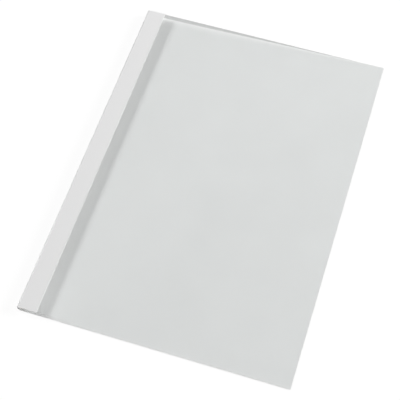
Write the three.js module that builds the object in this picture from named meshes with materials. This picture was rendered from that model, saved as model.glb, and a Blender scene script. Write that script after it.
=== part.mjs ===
// Thermal binding cover for A4 sheets, empty and closed, lying on its back cover.
// One sheet of gloss card is folded twice into a back panel, a spine wall and a front lap.
// A clear film is glued under the lap, and a strip of hot-melt glue runs inside the spine.
// Millimetres. +Z is up, +Y runs along the spine, +X runs from the spine to the fore edge.

import * as THREE from 'three';

// Driving dimensions
const LENGTH = 297; // along the spine, the height of an A4 sheet
const COVER_WIDTH = 213; // from the spine's outer face to the fore edge of the card
const SPINE_HEIGHT = 6.3; // outside height of the closed spine
const LAP_WIDTH = 16; // from the spine's outer face to the free edge of the lap
const CARD = 0.3; // thickness of the gloss card
const FILM = 0.15; // thickness of the clear film
const FOLD_RADIUS = 0.7; // inside radius of both spine folds
const FOLD_STEPS = 6; // facets round each fold

const FILM_INSET = 3; // from the spine's outer face to the film's glued edge
const FILM_WIDTH = 209.7; // from the glued edge to the fore edge of the film, laid out level
const FILM_END_INSET = 0.5; // how far the film stops short of the card at each end
const FILM_REST_GAP = 0.3; // air under the film where it lies along the back panel

// The empty spine holds the film up. The near end comes down in a short S-curve. The far end is taut
// and slopes nearly straight down to a narrow level strip along the fore edge.
const CREST = 2; // from the lap's edge to where the film turns down
const NEAR_TOUCHDOWN = 33; // from the lap's edge to where the near end lies level
const FAR_LEVEL_STRIP = 6; // from where the far end lies level to the film's fore edge
const FAR_STRAIGHTNESS = 0.85; // 0 is an S-curve like the near end's, 1 is a straight slope
const DRAPE_STEPS = 26; // facets across the drape
const LENGTH_STEPS = 12; // facets along the spine

const GLUE_HEIGHT = 4.2; // hot-melt strip, measured up the spine wall
const GLUE_THICKNESS = 0.7;
const GLUE_END_MARGIN = 4; // bare spine wall at each end of the strip
const GLUE_CORNER = 0.3; // rounding of the strip's two free edges
const GLUE_CORNER_STEPS = 4;

// Sizes that follow
const FOLD_OUTER = FOLD_RADIUS + CARD; // outside radius, and where each fold meets its panel
const LAP_UNDERSIDE = SPINE_HEIGHT - CARD;
const FILM_FORE_EDGE = FILM_INSET + FILM_WIDTH;
const FILM_REST = CARD + FILM_REST_GAP; // underside of the film where it lies level
const FILM_CREST = LAP_WIDTH + CREST;

const cardWhite = new THREE.MeshStandardMaterial({ color: 0xe4e6e5, roughness: 0.35, metalness: 0 });
const clearFilm = new THREE.MeshStandardMaterial({
  color: 0xe9edee,
  roughness: 0.1,
  metalness: 0,
  transparent: true,
  opacity: 0.3,
});
const glueCream = new THREE.MeshStandardMaterial({ color: 0xe8e0c8, roughness: 0.5, metalness: 0 });

// A section drawn across the spine (x, z), run along the spine from one end to the other
function alongSpine(section, from, to) {
  const geometry = new THREE.ExtrudeGeometry(section, {
    depth: to - from,
    bevelEnabled: false,
    curveSegments: FOLD_STEPS,
  });
  const place = geometry.getAttribute('position');
  for (let i = 0; i < place.count; i += 1) {
    place.setXYZ(i, place.getX(i), to - place.getZ(i), place.getY(i));
  }
  geometry.computeVertexNormals();
  return geometry;
}

// A flat panel of card, seen end on
function panelSection(left, right, bottom) {
  const section = new THREE.Shape();
  section.moveTo(left, bottom);
  section.lineTo(right, bottom);
  section.lineTo(right, bottom + CARD);
  section.lineTo(left, bottom + CARD);
  section.closePath();
  return section;
}

// The spine wall with the two rounded folds that carry the panels
function spineSection() {
  const top = SPINE_HEIGHT - FOLD_OUTER;
  const section = new THREE.Shape();
  section.moveTo(FOLD_OUTER, 0);
  section.lineTo(FOLD_OUTER, CARD);
  section.absarc(FOLD_OUTER, FOLD_OUTER, FOLD_RADIUS, -Math.PI / 2, -Math.PI, true);
  section.lineTo(CARD, top);
  section.absarc(FOLD_OUTER, top, FOLD_RADIUS, Math.PI, Math.PI / 2, true);
  section.lineTo(FOLD_OUTER, SPINE_HEIGHT);
  section.absarc(FOLD_OUTER, top, FOLD_OUTER, Math.PI / 2, Math.PI, false);
  section.lineTo(0, FOLD_OUTER);
  section.absarc(FOLD_OUTER, FOLD_OUTER, FOLD_OUTER, Math.PI, 1.5 * Math.PI, false);
  return section;
}

// The glue strip, flat against the wall and on its face, with rounded free edges
function glueSection() {
  const bottom = (SPINE_HEIGHT - GLUE_HEIGHT) / 2;
  const top = bottom + GLUE_HEIGHT;
  const face = CARD + GLUE_THICKNESS;
  const section = new THREE.Shape();
  section.moveTo(CARD, bottom);
  section.lineTo(face - GLUE_CORNER, bottom);
  section.absarc(face - GLUE_CORNER, bottom + GLUE_CORNER, GLUE_CORNER, -Math.PI / 2, 0, false);
  section.lineTo(face, top - GLUE_CORNER);
  section.absarc(face - GLUE_CORNER, top - GLUE_CORNER, GLUE_CORNER, 0, Math.PI / 2, false);
  section.lineTo(CARD, top);
  section.closePath();
  return section;
}

// Smooth step from 0 to 1, level at both ends
function ease(t) {
  return t * t * (3 - 2 * t);
}

// Where the film first lies level, for a section between the near end (0) and the far end (1)
function filmTouchdown(share) {
  return THREE.MathUtils.lerp(LAP_WIDTH + NEAR_TOUCHDOWN, FILM_FORE_EDGE - FAR_LEVEL_STRIP, share);
}

// Underside of the film at x in the same section
function filmUnderside(x, share) {
  const t = THREE.MathUtils.clamp((x - FILM_CREST) / (filmTouchdown(share) - FILM_CREST), 0, 1);
  const fall = THREE.MathUtils.lerp(ease(t), t, FAR_STRAIGHTNESS * share);
  return THREE.MathUtils.lerp(LAP_UNDERSIDE - FILM, FILM_REST, fall);
}

// Places across the film where it changes slope, from its glued edge to its fore edge
function filmStations(share) {
  const stations = [FILM_INSET];
  for (let i = 0; i <= DRAPE_STEPS; i += 1) {
    stations.push(THREE.MathUtils.lerp(FILM_CREST, filmTouchdown(share), i / DRAPE_STEPS));
  }
  stations.push(FILM_FORE_EDGE);
  return stations;
}

// One closed sheet lofted from the near end's curve to the far end's
function draftFilm() {
  const rings = [];
  for (let j = 0; j <= LENGTH_STEPS; j += 1) {
    const share = j / LENGTH_STEPS;
    const y = THREE.MathUtils.lerp(FILM_END_INSET, LENGTH - FILM_END_INSET, share);
    const under = filmStations(share).map((x) => [x, y, filmUnderside(x, share)]);
    const over = under.map(([x, , z]) => [x, y, z + FILM]).reverse();
    rings.push([...under, ...over]);
  }
  const around = rings[0].length;
  const across = around / 2;
  const triangles = [];
  for (let j = 0; j < LENGTH_STEPS; j += 1) {
    for (let i = 0; i < around; i += 1) {
      const a = j * around + i;
      const b = j * around + ((i + 1) % around);
      triangles.push(a, a + around, b, b, a + around, b + around);
    }
  }
  const far = LENGTH_STEPS * around;
  for (let i = 0; i < across - 1; i += 1) {
    const mate = around - 1 - i;
    triangles.push(i, i + 1, mate, i + 1, mate - 1, mate);
    triangles.push(far + i, far + mate, far + i + 1, far + i + 1, far + mate, far + mate - 1);
  }
  const geometry = new THREE.BufferGeometry();
  geometry.setAttribute('position', new THREE.Float32BufferAttribute(rings.flat(2), 3));
  geometry.setIndex(triangles);
  geometry.computeVertexNormals();
  return geometry;
}

const cover = new THREE.Group();
cover.position.set(-COVER_WIDTH / 2, -LENGTH / 2, 0);

function add(name, geometry, material) {
  const mesh = new THREE.Mesh(geometry, material);
  mesh.name = name;
  cover.add(mesh);
}

add('back_cover', alongSpine(panelSection(FOLD_OUTER, COVER_WIDTH, 0), 0, LENGTH), cardWhite);
add('spine_card', alongSpine(spineSection(), 0, LENGTH), cardWhite);
add('front_lap', alongSpine(panelSection(FOLD_OUTER, LAP_WIDTH, LAP_UNDERSIDE), 0, LENGTH), cardWhite);
add('front_film', draftFilm(), clearFilm);
add('glue_strip', alongSpine(glueSection(), GLUE_END_MARGIN, LENGTH - GLUE_END_MARGIN), glueCream);

export default cover;
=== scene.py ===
"""Looks of an empty A4 thermal binding cover: gloss card, clear draped film and a hot-melt spine strip.

Lengths are in metres in the row frame: +X from the spine to the fore edge, +Y along the spine, +Z up.
"""

import logging
from dataclasses import dataclass
from enum import Enum
from math import cos, pi, radians, sin, tau

import bmesh
import bpy
from mathutils import Matrix, Vector


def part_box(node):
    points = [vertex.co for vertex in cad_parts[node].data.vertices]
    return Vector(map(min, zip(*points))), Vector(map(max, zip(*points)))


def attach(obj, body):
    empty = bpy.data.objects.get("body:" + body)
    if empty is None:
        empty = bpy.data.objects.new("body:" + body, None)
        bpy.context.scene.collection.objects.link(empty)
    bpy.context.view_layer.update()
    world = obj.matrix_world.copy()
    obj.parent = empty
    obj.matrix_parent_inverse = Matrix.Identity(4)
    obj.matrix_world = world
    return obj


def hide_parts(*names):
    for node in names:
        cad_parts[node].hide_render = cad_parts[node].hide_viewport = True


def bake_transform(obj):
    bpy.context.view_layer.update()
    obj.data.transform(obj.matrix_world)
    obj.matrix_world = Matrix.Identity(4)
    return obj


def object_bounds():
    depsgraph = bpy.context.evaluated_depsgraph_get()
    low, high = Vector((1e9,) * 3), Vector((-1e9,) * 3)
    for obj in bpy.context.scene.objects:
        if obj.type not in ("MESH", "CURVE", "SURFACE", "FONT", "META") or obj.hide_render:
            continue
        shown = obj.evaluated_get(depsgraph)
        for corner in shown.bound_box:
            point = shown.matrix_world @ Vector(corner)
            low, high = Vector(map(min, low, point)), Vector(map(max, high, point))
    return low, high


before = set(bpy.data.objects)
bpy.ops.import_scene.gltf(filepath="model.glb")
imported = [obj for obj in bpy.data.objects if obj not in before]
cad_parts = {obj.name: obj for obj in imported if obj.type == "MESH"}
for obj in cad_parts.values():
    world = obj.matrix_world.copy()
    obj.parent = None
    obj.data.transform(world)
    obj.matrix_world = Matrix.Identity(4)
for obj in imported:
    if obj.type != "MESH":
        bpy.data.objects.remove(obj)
CAD_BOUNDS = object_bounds()

MM = 0.001
NOISE_LOW, NOISE_HIGH = 0.3, 0.7  # nearly all of a noise texture lies between these
SHARP_ANGLE = radians(40.0)
INDEX_MARGIN = 0.1  # how near two material indices count as the same
NO_LAYER = 0.5  # a ray through fewer see-through layers than this has met none
WHITE = (1.0, 1.0, 1.0, 1.0)
log = logging.getLogger("binding_cover")


class Face(Enum):
    """Which finish a face of a sheet takes."""

    BROAD = 0
    CUT = 1


class Axis(Enum):
    """An axis of the frame, by its place in a vector."""

    X = 0
    Y = 1
    Z = 2


class Side(Enum):
    """Which way a panel turns from the spine."""

    FRONT = "front"
    BACK = "back"


@dataclass(frozen=True)
class CoverSizes:
    """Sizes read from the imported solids, so that the looks follow them."""

    spine_left: float
    seam: float
    near: float
    far: float
    spine_top: float
    card: float
    lap_edge: float
    film_left: float
    film_right: float
    film_near: float
    film_far: float
    film_low: float
    glue_face: float
    glue_low: float
    glue_high: float
    glue_near: float
    glue_far: float

    @classmethod
    def from_frame(cls) -> "CoverSizes":
        """Measure the CAD nodes.

        Returns:
            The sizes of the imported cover.
        """
        back_low, back_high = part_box("back_cover")
        spine_low, spine_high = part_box("spine_card")
        lap_low, lap_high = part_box("front_lap")
        film_low, film_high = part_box("front_film")
        glue_low, glue_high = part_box("glue_strip")
        return cls(
            spine_left=spine_low.x,
            seam=back_low.x,
            near=back_low.y,
            far=back_high.y,
            spine_top=spine_high.z,
            card=back_high.z,
            lap_edge=lap_high.x,
            film_left=film_low.x,
            film_right=film_high.x,
            film_near=film_low.y,
            film_far=film_high.y,
            film_low=film_low.z,
            glue_face=glue_high.x,
            glue_low=glue_low.z,
            glue_high=glue_high.z,
            glue_near=glue_low.y,
            glue_far=glue_high.y,
        )


# Node helpers


@dataclass
class Tree:
    """A short way to add and link nodes in one node tree."""

    nodes: bpy.types.bpy_prop_collection
    links: bpy.types.bpy_prop_collection

    @classmethod
    def of(cls, owner: bpy.types.NodeTree) -> "Tree":
        """Wrap a node tree."""
        return cls(owner.nodes, owner.links)

    def add(self, kind: str, **settings: object) -> bpy.types.Node:
        """Add a node.

        Args:
            kind: Blender's name for the node's type.
            settings: Properties to set on it, such as operation.

        Returns:
            The new node.
        """
        node = self.nodes.new(kind)
        for name, value in settings.items():
            setattr(node, name, value)
        return node

    def feed(self, socket: bpy.types.NodeSocket, value: object) -> None:
        """Link a socket to another, or set its own value.

        Args:
            socket: The input to fill.
            value: An output socket, or a plain value.
        """
        if isinstance(value, bpy.types.NodeSocket):
            self.links.new(value, socket)
        else:
            socket.default_value = value

    def math(self, operation: str, *values: object) -> bpy.types.NodeSocket:
        """Add a Math node.

        Args:
            operation: Its operation.
            values: Its inputs, in order.

        Returns:
            Its result.
        """
        node = self.add("ShaderNodeMath", operation=operation)
        for socket, value in zip(node.inputs, values):
            self.feed(socket, value)
        return node.outputs[0]

    def noise(self, place: object, scale: object, detail: float) -> bpy.types.NodeSocket:
        """Add a noise texture.

        Args:
            place: The coordinates it reads.
            scale: Its scale, in waves to the metre.
            detail: How many finer waves it has.

        Returns:
            Its value.
        """
        node = self.add("ShaderNodeTexNoise")
        self.feed(node.inputs["Vector"], place)
        self.feed(node.inputs["Scale"], scale)
        node.inputs["Detail"].default_value = detail
        return node.outputs[0]

    def span(self, value: object, low: object, high: object, start: object = 0.0, end: object = 1.0,
             shape: str = "LINEAR") -> bpy.types.NodeSocket:
        """Add a Map Range node.

        Args:
            value: What it maps.
            low: The value that maps to start.
            high: The value that maps to end.
            start: The result at low.
            end: The result at high.
            shape: How it goes from one to the other.

        Returns:
            The mapped value.
        """
        node = self.add("ShaderNodeMapRange", interpolation_type=shape)
        for socket, given in zip(node.inputs, (value, low, high, start, end)):
            self.feed(socket, given)
        return node.outputs[0]

    def colour_mix(self, factor: object, first: object, second: object) -> bpy.types.NodeSocket:
        """Mix two colours.

        Args:
            factor: The share of the second.
            first: The first colour.
            second: The second colour.

        Returns:
            The mixed colour.
        """
        # A Mix node has sockets for each kind of value. 6, 7 and output 2 are its colours.
        node = self.add("ShaderNodeMix", data_type="RGBA")
        self.feed(node.inputs[0], factor)
        self.feed(node.inputs[6], first)
        self.feed(node.inputs[7], second)
        return node.outputs[2]

    def shader_mix(self, factor: object, first: object, second: object) -> bpy.types.NodeSocket:
        """Mix two shaders.

        Args:
            factor: The share of the second.
            first: The first shader's output.
            second: The second shader's output.

        Returns:
            The mixed shader.
        """
        node = self.add("ShaderNodeMixShader")
        for socket, given in zip(node.inputs, (factor, first, second)):
            self.feed(socket, given)
        return node.outputs[0]

    def bump(self, height: object, strength: float, distance: float) -> bpy.types.NodeSocket:
        """Add a Bump node.

        Args:
            height: The pattern that stands up.
            strength: How much of it shows.
            distance: How high it stands.

        Returns:
            The bumped normal.
        """
        node = self.add("ShaderNodeBump")
        node.inputs["Strength"].default_value = strength
        node.inputs["Distance"].default_value = distance
        self.feed(node.inputs["Height"], height)
        return node.outputs[0]


def shade(level: float, warmth: float = 0.0) -> tuple[float, float, float, float]:
    """Make a near-neutral colour.

    Args:
        level: Its brightness as an sRGB byte.
        warmth: How much redder than blue it is, in sRGB bytes.

    Returns:
        The colour as linear red, green, blue and alpha.
    """
    bytes_ = (level + warmth / 2, level, level - warmth / 2)
    linear = [((b / 255 + 0.055) / 1.055) ** 2.4 for b in bytes_]
    return (*linear, 1.0)


def new_material(name: str) -> tuple[bpy.types.Material, Tree, bpy.types.Node]:
    """Start a node material.

    Args:
        name: The material's name.

    Returns:
        The material, its tree and its output node.
    """
    material = bpy.data.materials.new(name)
    material.use_nodes = True
    material.node_tree.nodes.clear()
    tree = Tree.of(material.node_tree)
    return material, tree, tree.add("ShaderNodeOutputMaterial")


# Finishes


@dataclass(frozen=True)
class GlossCard:
    """White coated card: faint fibre mottle under a smooth coating."""

    name: str = "gloss_card"
    level: float = 245.0
    cloud_level: float = 243.0
    roughness: float = 0.34
    roughness_spread: float = 0.05
    coat: float = 0.25
    coat_roughness: float = 0.12
    mottle_scale: float = 900.0
    cloud_scale: float = 22.0
    cloud_share: float = 0.6
    mottle_share: float = 0.4
    bump_strength: float = 0.25
    bump_height: float = 0.02 * MM
    lets_through: float = 0.06

    def material(self) -> bpy.types.Material:
        """Build the finish.

        Returns:
            The material.
        """
        material, tree, output = new_material(self.name)
        place = tree.add("ShaderNodeTexCoord").outputs["Object"]
        clouds = tree.noise(place, self.cloud_scale, detail=3.0)
        mottle = tree.noise(place, self.mottle_scale, detail=4.0)
        part = tree.math("MULTIPLY", mottle, self.mottle_share)
        blend = tree.math("ADD", tree.math("MULTIPLY", clouds, self.cloud_share), part)
        colour = tree.colour_mix(blend, shade(self.level), shade(self.cloud_level))
        smooth, rough = self.roughness - self.roughness_spread, self.roughness + self.roughness_spread
        skin = tree.add("ShaderNodeBsdfPrincipled")
        tree.feed(skin.inputs["Base Color"], colour)
        tree.feed(skin.inputs["Roughness"], tree.span(mottle, NOISE_LOW, NOISE_HIGH, smooth, rough))
        skin.inputs["Coat Weight"].default_value = self.coat
        skin.inputs["Coat Roughness"].default_value = self.coat_roughness
        tree.feed(skin.inputs["Normal"], tree.bump(mottle, self.bump_strength, self.bump_height))
        glow = tree.add("ShaderNodeBsdfTranslucent")
        tree.feed(glow.inputs["Color"], colour)
        sheet = tree.shader_mix(self.lets_through, skin.outputs[0], glow.outputs[0])
        tree.feed(output.inputs["Surface"], sheet)
        return material


@dataclass(frozen=True)
class CutCard:
    """The bare fibre of a guillotined card edge."""

    name: str = "cut_card"
    level: float = 236.0
    warmth: float = 2.0
    core_level: float = 214.0
    core_warmth: float = 4.0
    fibre_scale: float = 4000.0
    roughness: float = 0.85

    def material(self) -> bpy.types.Material:
        """Build the finish.

        Returns:
            The material.
        """
        material, tree, output = new_material(self.name)
        place = tree.add("ShaderNodeTexCoord").outputs["Object"]
        fibres = tree.noise(place, self.fibre_scale, detail=5.0)
        core = shade(self.core_level, self.core_warmth)
        skin = tree.add("ShaderNodeBsdfPrincipled")
        tree.feed(skin.inputs["Base Color"], tree.colour_mix(fibres, core, shade(self.level, self.warmth)))
        skin.inputs["Roughness"].default_value = self.roughness
        tree.feed(output.inputs["Surface"], skin.outputs[0])
        return material


@dataclass(frozen=True)
class ClearFilm:
    """Clear glossy film: sees through, mirrors more at a slant, and carries a breath of haze."""

    name: str = "clear_film"
    tint: tuple[float, float, float, float] = (0.993, 0.999, 0.997, 1.0)
    haze: float = 0.03
    haze_level: float = 240.0
    haze_spread: tuple[float, float] = (0.7, 1.3)
    slant_gain: float = 0.6
    slant_power: float = 5.0
    head_on: float = 0.02
    roughness: float = 0.06
    roughness_spread: tuple[float, float] = (0.7, 1.5)
    smear_scale: float = 18.0

    def material(self) -> bpy.types.Material:
        """Build the finish.

        Returns:
            The material.
        """
        material, tree, output = new_material(self.name)
        place = tree.add("ShaderNodeTexCoord").outputs["Object"]
        smears = tree.noise(place, self.smear_scale, detail=3.0)
        clear = tree.add("ShaderNodeBsdfTransparent")
        clear.inputs["Color"].default_value = self.tint
        haze = tree.add("ShaderNodeBsdfDiffuse")
        haze.inputs["Color"].default_value = shade(self.haze_level)
        thin, thick = (self.haze * share for share in self.haze_spread)
        milk = tree.span(smears, NOISE_LOW, NOISE_HIGH, thin, thick)
        body = tree.shader_mix(milk, clear.outputs[0], haze.outputs[0])
        gloss = tree.add("ShaderNodeBsdfGlossy")
        gloss.inputs["Color"].default_value = WHITE
        smooth, rough = (self.roughness * share for share in self.roughness_spread)
        tree.feed(gloss.inputs["Roughness"], tree.span(smears, NOISE_LOW, NOISE_HIGH, smooth, rough))
        slant = tree.add("ShaderNodeLayerWeight")
        slant.inputs["Blend"].default_value = 0.5  # half leaves Facing as it is
        edge = tree.math("POWER", slant.outputs["Facing"], self.slant_power)
        mirror = tree.math("MULTIPLY_ADD", edge, self.slant_gain, self.head_on)
        tree.feed(output.inputs["Surface"], tree.shader_mix(mirror, body, gloss.outputs[0]))
        return material


@dataclass(frozen=True)
class CutFilm:
    """The film's sheared edge, where light leaves it and it looks milky."""

    name: str = "cut_film"
    level: float = 226.0
    nick_level: float = 212.0
    nick_scale: float = 2500.0
    cover: float = 0.55
    roughness: float = 0.3

    def material(self) -> bpy.types.Material:
        """Build the finish.

        Returns:
            The material.
        """
        material, tree, output = new_material(self.name)
        place = tree.add("ShaderNodeTexCoord").outputs["Object"]
        nicks = tree.noise(place, self.nick_scale, detail=2.0)
        skin = tree.add("ShaderNodeBsdfPrincipled")
        colour = tree.colour_mix(nicks, shade(self.level), shade(self.nick_level))
        tree.feed(skin.inputs["Base Color"], colour)
        skin.inputs["Roughness"].default_value = self.roughness
        skin.inputs["Alpha"].default_value = self.cover
        tree.feed(output.inputs["Surface"], skin.outputs[0])
        return material


@dataclass(frozen=True)
class HotMelt:
    """Cream hot-melt glue, set with a dull waxy skin."""

    name: str = "hot_melt_glue"
    level: float = 206.0
    warmth: float = 34.0
    pale_level: float = 222.0
    pale_warmth: float = 28.0
    streak_scale: float = 260.0
    roughness: float = 0.42
    roughness_spread: float = 0.1
    bump_strength: float = 0.4
    bump_height: float = 0.08 * MM
    glow: float = 0.2
    glow_reach: tuple[float, float, float] = (1.2 * MM, 0.9 * MM, 0.6 * MM)

    def material(self) -> bpy.types.Material:
        """Build the finish.

        Returns:
            The material.
        """
        material, tree, output = new_material(self.name)
        place = tree.add("ShaderNodeTexCoord").outputs["Object"]
        streaks = tree.noise(place, self.streak_scale, detail=4.0)
        skin = tree.add("ShaderNodeBsdfPrincipled")
        pale = shade(self.pale_level, self.pale_warmth)
        tree.feed(skin.inputs["Base Color"], tree.colour_mix(streaks, shade(self.level, self.warmth), pale))
        smooth, rough = self.roughness - self.roughness_spread, self.roughness + self.roughness_spread
        tree.feed(skin.inputs["Roughness"], tree.span(streaks, NOISE_LOW, NOISE_HIGH, smooth, rough))
        skin.inputs["Subsurface Weight"].default_value = self.glow
        skin.inputs["Subsurface Radius"].default_value = self.glow_reach
        tree.feed(skin.inputs["Normal"], tree.bump(streaks, self.bump_strength, self.bump_height))
        tree.feed(output.inputs["Surface"], skin.outputs[0])
        return material


# Mesh helpers


def link(obj: bpy.types.Object) -> bpy.types.Object:
    """Put an object in the scene and return it."""
    bpy.context.scene.collection.objects.link(obj)
    return obj


def dressed(name: str, mesh: bpy.types.Mesh, finishes: list[bpy.types.Material]) -> bpy.types.Object:
    """Give a mesh its finishes and put it in the scene.

    Args:
        name: The object's name.
        mesh: The mesh.
        finishes: The finishes, in the order of Face.

    Returns:
        The object.
    """
    for finish in finishes:
        mesh.materials.append(finish)
    return link(bpy.data.objects.new(name, mesh))


def lofted(name: str, rings: list[list[Vector]], rim: set[int]) -> bpy.types.Mesh:
    """Join closed rings of points into one closed tube with flat ends.

    Args:
        name: The mesh's name.
        rings: Rings of as many points each, from the near end to the far end.
        rim: The places round the ring whose strips are cut edges.

    Returns:
        The mesh, with cut edges and ends in the CUT slot.
    """
    mesh = bpy.data.meshes.new(name)
    build = bmesh.new()
    rows = [[build.verts.new(point) for point in ring] for ring in rings]
    around = len(rings[0])
    for ring, following in zip(rows, rows[1:]):
        for i in range(around):
            j = (i + 1) % around
            face = build.faces.new((ring[i], ring[j], following[j], following[i]))
            face.material_index = Face.CUT.value if i in rim else Face.BROAD.value
            face.smooth = i not in rim
    half = around // 2
    for ring in (rows[0], rows[-1]):
        for i in range(half - 1):
            corners = (ring[i], ring[i + 1], ring[around - 2 - i], ring[around - 1 - i])
            build.faces.new(corners).material_index = Face.CUT.value
    bmesh.ops.recalc_face_normals(build, faces=build.faces)
    build.to_mesh(mesh)
    build.free()
    mesh.set_sharp_from_angle(angle=SHARP_ANGLE)
    return mesh


def spaced(start: float, end: float, step: float) -> list[float]:
    """Evenly spaced places from start to end, about a step apart."""
    count = max(1, round((end - start) / step))
    return [start + (end - start) * i / count for i in range(count + 1)]


def run_nodes(obj: bpy.types.Object, group: bpy.types.NodeTree, sizes: dict[str, float]) -> None:
    """Apply a geometry node group to an object and keep the result as its plain mesh.

    Args:
        obj: The object, in the scene.
        group: The node group.
        sizes: Values for the group's named inputs.
    """
    modifier = obj.modifiers.new(group.name, "NODES")
    modifier.node_group = group
    for item in group.interface.items_tree:
        if item.item_type == "SOCKET" and item.in_out == "INPUT" and item.name in sizes:
            modifier[item.identifier] = sizes[item.name]
    graph = bpy.context.evaluated_depsgraph_get()
    made = bpy.data.meshes.new_from_object(obj.evaluated_get(graph))
    obj.modifiers.clear()
    obj.data = made


def new_group(
    name: str, inputs: dict[str, float]
) -> tuple[bpy.types.NodeTree, Tree, bpy.types.Node, bpy.types.Node]:
    """Start a geometry node group with a Geometry input and output and named size inputs.

    Args:
        name: The group's name.
        inputs: Named inputs with their values.

    Returns:
        The group, its tree helper, its input node and its output node.
    """
    group = bpy.data.node_groups.new(name, "GeometryNodeTree")
    group.interface.new_socket("Geometry", in_out="INPUT", socket_type="NodeSocketGeometry")
    group.interface.new_socket("Geometry", in_out="OUTPUT", socket_type="NodeSocketGeometry")
    for label, value in inputs.items():
        group.interface.new_socket(label, in_out="INPUT", socket_type="NodeSocketFloat").default_value = value
    tree = Tree.of(group)
    return group, tree, tree.add("NodeGroupInput"), tree.add("NodeGroupOutput")


def position(tree: Tree) -> tuple[bpy.types.NodeSocket, bpy.types.NodeSocket]:
    """Read where each point of the geometry lies.

    Args:
        tree: The group's tree helper.

    Returns:
        Its x and its y.
    """
    parts = tree.add("ShaderNodeSeparateXYZ")
    tree.feed(parts.inputs[0], tree.add("GeometryNodeInputPosition").outputs[0])
    return parts.outputs[Axis.X.value], parts.outputs[Axis.Y.value]


def level_waves(
    tree: Tree, x: bpy.types.NodeSocket, y: bpy.types.NodeSocket, scale: bpy.types.NodeSocket
) -> bpy.types.NodeSocket:
    """Add soft waves that are the same at every height, so that both faces of a sheet move as one.

    Args:
        tree: The group's tree helper.
        x: Each point's x.
        y: Each point's y.
        scale: The waves to the metre.

    Returns:
        The waves' value.
    """
    level = tree.add("ShaderNodeCombineXYZ")
    tree.feed(level.inputs[Axis.X.value], x)
    tree.feed(level.inputs[Axis.Y.value], y)
    return tree.noise(level.outputs[0], scale, detail=1.0)


def moved(
    tree: Tree, geometry: bpy.types.NodeSocket, axis: Axis, distance: bpy.types.NodeSocket
) -> bpy.types.NodeSocket:
    """Move each point of the geometry along one axis.

    Args:
        tree: The group's tree helper.
        geometry: The geometry so far.
        axis: The axis.
        distance: How far each point moves.

    Returns:
        The moved geometry.
    """
    offset = tree.add("ShaderNodeCombineXYZ")
    tree.feed(offset.inputs[axis.value], distance)
    move = tree.add("GeometryNodeSetPosition")
    tree.feed(move.inputs["Geometry"], geometry)
    tree.feed(move.inputs["Offset"], offset.outputs[0])
    return move.outputs[0]


def end_tree(tree: Tree, geometry: bpy.types.NodeSocket, taken: bpy.types.Node,
             finishes: list[bpy.types.Material]) -> None:
    """End a geometry node group: real geometry, each face in the finish that its index names.

    Args:
        tree: The group's tree helper.
        geometry: The geometry so far.
        taken: The group's output node.
        finishes: The finishes, in the order of Face.
    """
    real = tree.add("GeometryNodeRealizeInstances")
    tree.feed(real.inputs["Geometry"], geometry)
    geometry = real.outputs[0]
    index = tree.add("GeometryNodeInputMaterialIndex").outputs[0]
    for face, finish in zip(Face, finishes):
        dress = tree.add("GeometryNodeSetMaterial")
        tree.feed(dress.inputs["Geometry"], geometry)
        tree.feed(dress.inputs["Selection"], tree.math("COMPARE", index, float(face.value), INDEX_MARGIN))
        dress.inputs["Material"].default_value = finish
        geometry = dress.outputs[0]
    tree.feed(taken.inputs[0], geometry)


def finish_piece(obj: bpy.types.Object, node: str) -> bpy.types.Object:
    """Hide the CAD node that a piece replaces.

    Args:
        obj: The piece.
        node: The CAD node that it replaces.

    Returns:
        The piece.
    """
    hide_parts(node)
    return obj


# Pieces


@dataclass
class CardPanel:
    """A flat panel of card, its sections closer together near the spine fold."""

    name: str
    node: str
    side: Side
    finishes: list[bpy.types.Material]
    bend: float = 1.6 * MM
    fine_step: float = 0.2 * MM
    step: float = 4.0 * MM
    wave: float = 0.0
    wave_scale: float = 9.0
    wave_low: float = 0.35
    wave_high: float = 0.65

    def build(self) -> bpy.types.Object:
        """Build the panel.

        Returns:
            The finished piece.
        """
        low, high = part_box(self.node)
        mesh = lofted(self.name, self.rings(low, high), self.rim(low, high))
        obj = dressed(self.name, mesh, self.finishes)
        if self.wave:
            self.lay(obj, low, high)
        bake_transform(obj)
        return finish_piece(obj, self.node)

    def across(self, low: Vector, high: Vector) -> list[float]:
        """Places across the panel, close together near the spine fold."""
        bend_end = low.x + self.bend
        return spaced(low.x, bend_end, self.fine_step) + spaced(bend_end, high.x, self.step)[1:]

    def rings(self, low: Vector, high: Vector) -> list[list[Vector]]:
        """Sections of the panel from its near end to its far end.

        Args:
            low: Its lowest corner.
            high: Its highest corner.

        Returns:
            Rings of points, along the underside and back along the top.
        """
        places = self.across(low, high)
        rings = []
        for y in spaced(low.y, high.y, self.step):
            under = [Vector((x, y, low.z)) for x in places]
            over = [Vector((x, y, high.z)) for x in reversed(places)]
            rings.append(under + over)
        return rings

    def rim(self, low: Vector, high: Vector) -> set[int]:
        """The strips round the section that are cut edges."""
        count = len(self.across(low, high))
        return {count - 1, 2 * count - 1}

    def lay(self, obj: bpy.types.Object, low: Vector, high: Vector) -> None:
        """Give the panel the slight waviness of card lying on a table.

        Args:
            obj: The panel.
            low: Its lowest corner.
            high: Its highest corner.
        """
        sizes = {"Wave": self.wave, "Held": low.x, "Free": high.x, "Scale": self.wave_scale}
        group, tree, given, taken = new_group("lay_card", sizes)
        out = given.outputs
        x, y = position(tree)
        waves = tree.span(level_waves(tree, x, y, out["Scale"]), self.wave_low, self.wave_high)
        free = tree.span(x, out["Held"], out["Free"], shape="SMOOTHSTEP")
        lift = tree.math("MULTIPLY", tree.math("MULTIPLY", waves, out["Wave"]), free)
        end_tree(tree, moved(tree, out["Geometry"], Axis.Z, lift), taken, self.finishes)
        run_nodes(obj, group, sizes)


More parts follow.
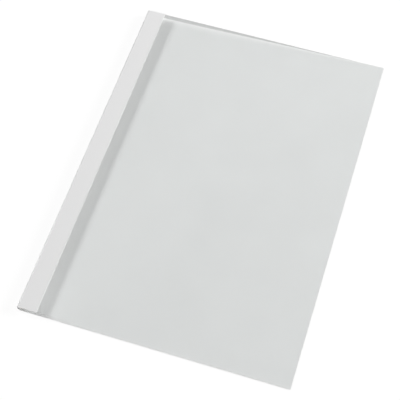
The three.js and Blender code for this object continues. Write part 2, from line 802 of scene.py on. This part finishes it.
@dataclass
class SpineFold:
    """The spine wall with its two rounded folds."""

    sizes: CoverSizes
    finishes: list[bpy.types.Material]
    name: str = "spine_fold"
    arc_steps: int = 14
    wall_steps: int = 6
    step: float = 4.0 * MM

    def build(self) -> bpy.types.Object:
        """Build the spine.

        Returns:
            The finished piece.
        """
        section = self.section()
        places = spaced(self.sizes.near, self.sizes.far, self.step)
        rings = [[Vector((x, y, z)) for x, z in section] for y in places]
        half = len(section) // 2
        obj = dressed(self.name, lofted(self.name, rings, {half - 1, 2 * half - 1}), self.finishes)
        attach(obj, "spine")
        return finish_piece(obj, "spine_card")

    def side_line(self, inset: float) -> list[tuple[float, float]]:
        """One face of the card from the bottom seam round to the top seam.

        Args:
            inset: How far the face lies inside the outer face.

        Returns:
            Points (x, z).
        """
        s = self.sizes
        outer = s.seam - s.spine_left
        radius = outer - inset
        low, high = outer, s.spine_top - outer
        points = []
        for i in range(self.arc_steps + 1):
            angle = -pi / 2 - pi / 2 * i / self.arc_steps
            points.append((s.seam + radius * cos(angle), low + radius * sin(angle)))
        wall = s.seam - radius
        for i in range(1, self.wall_steps):
            points.append((wall, low + (high - low) * i / self.wall_steps))
        for i in range(self.arc_steps + 1):
            angle = pi - pi / 2 * i / self.arc_steps
            points.append((s.seam + radius * cos(angle), high + radius * sin(angle)))
        return points

    def section(self) -> list[tuple[float, float]]:
        """The closed section of the folded card."""
        return self.side_line(0.0) + self.side_line(self.sizes.card)[::-1]


@dataclass
class DrapedFilm:
    """The clear front, glued under the lap and draped over the empty spine."""

    sizes: CoverSizes
    finishes: list[bpy.types.Material]
    name: str = "front_film_sheet"
    thickness: float = 0.15 * MM
    glue_line: float = 0.01 * MM
    step: float = 1.5 * MM
    long_step: float = 5.0 * MM
    crest: float = 2.0 * MM
    near_touchdown: float = 33.0 * MM
    far_level_strip: float = 6.0 * MM
    far_straightness: float = 0.85
    ripple: float = 0.08 * MM
    ripple_scale: float = 14.0

    def build(self) -> bpy.types.Object:
        """Build the film.

        Returns:
            The finished piece.
        """
        s = self.sizes
        places = spaced(s.film_left, s.lap_edge, self.step) + spaced(s.lap_edge, s.film_right, self.step)[1:]
        rings = []
        for y in spaced(s.film_near, s.film_far, self.long_step):
            under = [Vector((x, y, 0.0)) for x in places]
            over = [Vector((x, y, self.thickness)) for x in reversed(places)]
            rings.append(under + over)
        mesh = lofted(self.name, rings, {len(places) - 1, 2 * len(places) - 1})
        obj = dressed(self.name, mesh, self.finishes)
        run_nodes(obj, self.drape_group(), self.inputs())
        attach(obj, "front")
        return finish_piece(obj, "front_film")

    def inputs(self) -> dict[str, float]:
        """Work out the values for the drape's named inputs.

        Returns:
            Each input's name and its value.
        """
        s = self.sizes
        return {
            "Near end": s.film_near,
            "Far end": s.film_far,
            "Crest": s.lap_edge + self.crest,
            "Near touchdown": s.lap_edge + self.near_touchdown,
            "Far touchdown": s.film_right - self.far_level_strip,
            "Far straightness": self.far_straightness,
            "Glued height": s.spine_top - s.card - self.glue_line - self.thickness,
            "Rest height": s.film_low,
            "Ripple": self.ripple,
            "Ripple scale": self.ripple_scale,
        }

    def drape_group(self) -> bpy.types.NodeTree:
        """Build the node group that lifts a flat sheet into its drape.

        Returns:
            The node group.
        """
        group, tree, given, taken = new_group("film_drape", self.inputs())
        out = given.outputs
        x, y = position(tree)
        share = tree.span(y, out["Near end"], out["Far end"])
        touchdown = tree.span(share, 0.0, 1.0, out["Near touchdown"], out["Far touchdown"])
        slope = tree.span(x, out["Crest"], touchdown)
        curve = tree.span(x, out["Crest"], touchdown, shape="SMOOTHSTEP")
        straight = tree.math("MULTIPLY", share, out["Far straightness"])
        fall = tree.math("MULTIPLY_ADD", tree.math("SUBTRACT", slope, curve), straight, curve)
        height = tree.span(fall, 0.0, 1.0, out["Glued height"], out["Rest height"])
        waves = tree.span(level_waves(tree, x, y, out["Ripple scale"]), NOISE_LOW, NOISE_HIGH)
        loose = tree.span(x, out["Crest"], out["Near touchdown"], 0.0, out["Ripple"], "SMOOTHSTEP")
        height = tree.math("MULTIPLY_ADD", waves, loose, height)
        end_tree(tree, moved(tree, out["Geometry"], Axis.Z, height), taken, self.finishes)
        return group


@dataclass
class GlueStrip:
    """The hot-melt strip: a low bead with pressed ribs across it."""

    sizes: CoverSizes
    finishes: list[bpy.types.Material]
    name: str = "hot_melt_strip"
    rib_pitch: float = 3.0 * MM
    rib_depth: float = 0.12 * MM
    step: float = 0.5 * MM
    corner: float = 0.3 * MM
    corner_steps: int = 4

    def build(self) -> bpy.types.Object:
        """Build the strip.

        Returns:
            The finished piece.
        """
        s = self.sizes
        section = self.section()
        places = spaced(s.glue_near, s.glue_far, self.step)
        mesh = lofted(self.name, [[Vector((x, y, z)) for x, z in section] for y in places], set())
        for face in mesh.polygons:
            face.material_index = Face.BROAD.value
        obj = dressed(self.name, mesh, self.finishes)
        run_nodes(obj, self.rib_group(), self.inputs())
        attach(obj, "spine")
        return finish_piece(obj, "glue_strip")

    def section(self) -> list[tuple[float, float]]:
        """Draw the strip's section before its ribs are pressed in.

        Returns:
            Points (x, z), from the wall round the two rounded edges and back to the wall.
        """
        s = self.sizes
        wall = s.spine_left + s.card
        centre = s.glue_face - self.corner
        points = [(wall, s.glue_low)]
        for z, start in ((s.glue_low + self.corner, -pi / 2), (s.glue_high - self.corner, 0.0)):
            for i in range(self.corner_steps + 1):
                angle = start + pi / 2 * i / self.corner_steps
                points.append((centre + self.corner * cos(angle), z + self.corner * sin(angle)))
        points.append((wall, s.glue_high))
        return points

    def inputs(self) -> dict[str, float]:
        """Work out the values for the ribs' named inputs.

        Returns:
            Each input's name and its value in metres.
        """
        s = self.sizes
        return {
            "Near end": s.glue_near,
            "Wall": s.spine_left + s.card,
            "Rounding": s.glue_face - self.corner,
            "Pitch": self.rib_pitch,
            "Depth": self.rib_depth,
        }

    def rib_group(self) -> bpy.types.NodeTree:
        """Build the node group that presses ribs across the strip's face and leaves its back on the wall.

        Returns:
            The node group.
        """
        group, tree, given, taken = new_group("pressed_ribs", self.inputs())
        out = given.outputs
        x, y = position(tree)
        ribs = tree.math("DIVIDE", tree.math("SUBTRACT", y, out["Near end"]), out["Pitch"])
        wave = tree.math("COSINE", tree.math("MULTIPLY", ribs, tau))
        pressed = tree.math("MULTIPLY_ADD", wave, -0.5, 0.5)
        depth = tree.span(x, out["Wall"], out["Rounding"], 0.0, out["Depth"])
        inward = tree.math("MULTIPLY", tree.math("MULTIPLY", pressed, depth), -1.0)
        end_tree(tree, moved(tree, out["Geometry"], Axis.X, inward), taken, self.finishes)
        return group


# Studio


@dataclass(frozen=True)
class Viewpoint:
    """The camera of the photograph, fitted to the outline of the A4 cover."""

    place: tuple[float, float, float] = (0.14596, -0.37766, 0.68983)
    azimuth: float = 22.684
    elevation: float = 60.571
    roll: float = 5.318
    focal_pixels: float = 994.58
    frame_pixels: float = 400.0
    sensor: float = 36.0
    nearest: float = 0.01
    furthest: float = 20.0

    def build(self) -> bpy.types.Object:
        """Make the scene's camera.

        Returns:
            The camera.
        """
        data = bpy.data.cameras.new("view")
        data.sensor_width = self.sensor
        data.lens = self.focal_pixels / self.frame_pixels * self.sensor
        data.clip_start = self.nearest
        data.clip_end = self.furthest
        camera = link(bpy.data.objects.new("view", data))
        turn, tilt = radians(self.azimuth), radians(self.elevation)
        back = Vector((sin(turn) * cos(tilt), -cos(turn) * cos(tilt), sin(tilt)))
        right = (-back).cross(Vector((0.0, 0.0, 1.0))).normalized()
        up = back.cross(right)
        level = Matrix((right, up, back)).transposed().to_4x4()
        roll = Matrix.Rotation(-radians(self.roll), 4, "Z")
        camera.matrix_world = Matrix.Translation(self.place) @ level @ roll
        bpy.context.scene.camera = camera
        return camera


@dataclass(frozen=True)
class Lamp:
    """A round area lamp that faces the middle of the cover."""

    name: str
    towards: tuple[float, float, float]
    distance: float
    width: float
    watts: float

    def build(self) -> bpy.types.Object:
        """Hang the lamp.

        Returns:
            The lamp.
        """
        data = bpy.data.lights.new(self.name, "AREA")
        data.shape = "DISK"
        data.size = self.width
        data.energy = self.watts
        lamp = link(bpy.data.objects.new(self.name, data))
        towards = Vector(self.towards).normalized()
        lamp.location = towards * self.distance
        lamp.rotation_euler = towards.to_track_quat("Z", "Y").to_euler()
        return lamp


@dataclass(frozen=True)
class Studio:
    """A white table in soft light: a key lamp beyond the spine, a broad fill beyond the fore edge and a low
    lamp at the near end.
    """

    dim_sky: float = 0.03
    bright_sky: float = 0.12
    dim_at: float = -0.4
    bright_at: float = 0.6
    sky_heading: tuple[float, float, float] = (0.95, 0.3, 0.0)
    key: Lamp = Lamp("key", (-1.58, 0.5, 1.0), 2.4, 0.7, 29.5)
    fill: Lamp = Lamp("fill", (1.2, 0.5, 0.52), 2.8, 1.1, 108.0)
    front: Lamp = Lamp("front", (0.2, -1.3, 0.12), 1.8, 0.6, 16.0)
    floor_half: float = 3.0
    floor_drop: float = 0.5 * MM
    floor_grey: float = 0.8
    # Painted shade on the table round the cover's footprint: its grey, and where it starts and fades out.
    painted_shade_grey: float = 0.6
    painted_shade_inside: float = 4.0 * MM
    painted_shade_outside: float = 8.0 * MM
    painted_shade_end: float = 45.0 * MM
    floor_shadow: float = 0.1
    glow: float = 0.93
    far_glow: float = 1.0
    glow_reach: float = 1.2

    def build(self) -> None:
        """Make the floor, the sky and the lamps, and show colours as they are written."""
        bpy.context.scene.view_settings.view_transform = "Standard"
        self.world()
        self.floor()
        self.key.build()
        self.fill.build()
        self.front.build()

    def world(self) -> None:
        """Make a sky that lights from beyond the fore edge and looks white."""
        world = bpy.data.worlds.new("studio")
        bpy.context.scene.world = world
        world.use_nodes = True
        world.node_tree.nodes.clear()
        tree = Tree.of(world.node_tree)
        light = tree.add("ShaderNodeBackground")
        light.inputs["Color"].default_value = WHITE
        facing = tree.add("ShaderNodeVectorMath", operation="DOT_PRODUCT")
        tree.feed(facing.inputs[0], tree.add("ShaderNodeTexCoord").outputs["Generated"])
        facing.inputs[1].default_value = Vector(self.sky_heading).normalized()
        strength = tree.span(
            facing.outputs["Value"], self.dim_at, self.bright_at, self.dim_sky, self.bright_sky, "SMOOTHSTEP"
        )
        tree.feed(light.inputs["Strength"], strength)
        white = tree.add("ShaderNodeBackground")
        white.inputs["Color"].default_value = WHITE
        output = tree.add("ShaderNodeOutputWorld")
        mix = tree.shader_mix(self.seen(tree), light.outputs[0], white.outputs[0])
        tree.feed(output.inputs["Surface"], mix)

    @staticmethod
    def seen(tree: Tree) -> bpy.types.NodeSocket:
        """Tell the rays that show the backdrop from those that light the cover.

        Args:
            tree: The tree to add to.

        Returns:
            1 for a camera, reflected or transmitted ray, otherwise 0.
        """
        path = tree.add("ShaderNodeLightPath").outputs
        first = tree.math("MAXIMUM", path["Is Camera Ray"], path["Is Glossy Ray"])
        return tree.math("MAXIMUM", first, path["Is Transmission Ray"])

    def away(self, tree: Tree) -> bpy.types.NodeSocket:
        """Measure how far a place on the table lies outside the closed cover's footprint.

        Args:
            tree: The tree to add to.

        Returns:
            The distance, negative inside the footprint.
        """
        parts = tree.add("ShaderNodeSeparateXYZ")
        tree.feed(parts.inputs[0], tree.add("ShaderNodeTexCoord").outputs["Object"])
        beyond = []
        for axis in (Axis.X.value, Axis.Y.value):
            reach = tree.math("ABSOLUTE", parts.outputs[axis])
            beyond.append(tree.math("SUBTRACT", reach, CAD_BOUNDS[1][axis]))
        return tree.math("MAXIMUM", *beyond)

    def floor(self) -> None:
        """Make the table top: white to the camera, with the object's shadow kept and a painted shade round
        the cover's footprint.
        """
        material, tree, output = new_material("table_top")
        away = self.away(tree)
        plain = tree.add("ShaderNodeBsdfDiffuse")
        # Painted shade: the table's grey darkens towards the cover's footprint, standing in for the cover's
        # shadow on it.
        painted_shade_near_cover = tree.span(away, -self.painted_shade_inside, 0.0, self.floor_grey, self.painted_shade_grey, "SMOOTHSTEP")
        grey = tree.span(away, self.painted_shade_outside, self.painted_shade_end, painted_shade_near_cover, self.floor_grey, "SMOOTHSTEP")
        tree.feed(plain.inputs["Color"], grey)
        shadowed = tree.add("ShaderNodeBsdfDiffuse")
        shadowed.inputs["Color"].default_value = (*[self.floor_shadow] * 3, 1.0)
        glow = tree.add("ShaderNodeEmission")
        tree.feed(glow.inputs["Strength"], tree.span(away, 0.0, self.glow_reach, self.glow, self.far_glow))
        white = tree.add("ShaderNodeAddShader")
        tree.feed(white.inputs[0], shadowed.outputs[0])
        tree.feed(white.inputs[1], glow.outputs[0])
        # Seen bare, the table is white. Seen through the film, it is its own grey, with painted shade near
        # the cover's footprint.
        through = tree.add("ShaderNodeLightPath").outputs["Transparent Depth"]
        bare = tree.math("MULTIPLY", self.seen(tree), tree.math("LESS_THAN", through, NO_LAYER))
        tree.feed(output.inputs["Surface"], tree.shader_mix(bare, plain.outputs[0], white.outputs[0]))
        mesh = bpy.data.meshes.new("table_top")
        half = self.floor_half
        corners = [(-half, -half, 0.0), (half, -half, 0.0), (half, half, 0.0), (-half, half, 0.0)]
        mesh.from_pydata(corners, [], [(0, 1, 2, 3)])
        mesh.materials.append(material)
        floor = link(bpy.data.objects.new("table_top", mesh))
        floor.location.z = -self.floor_drop


def main() -> None:
    """Build the cover and its studio, and report each piece."""
    logging.basicConfig(level=logging.INFO, format="%(message)s")
    sizes = CoverSizes.from_frame()
    card = [GlossCard().material(), CutCard().material()]
    film = [ClearFilm().material(), CutFilm().material()]
    glue = [HotMelt().material()]
    Viewpoint().build()
    Studio().build()
    pieces = (
        CardPanel("back_panel", "back_cover", Side.BACK, card, wave=0.12 * MM),
        CardPanel("lap_panel", "front_lap", Side.FRONT, card),
        SpineFold(sizes, card),
        DrapedFilm(sizes, film),
        GlueStrip(sizes, glue),
    )
    for piece in pieces:
        made = piece.build()
        log.info("%s: %d faces", made.name, len(made.data.polygons))


if __name__ == "__main__":
    main()
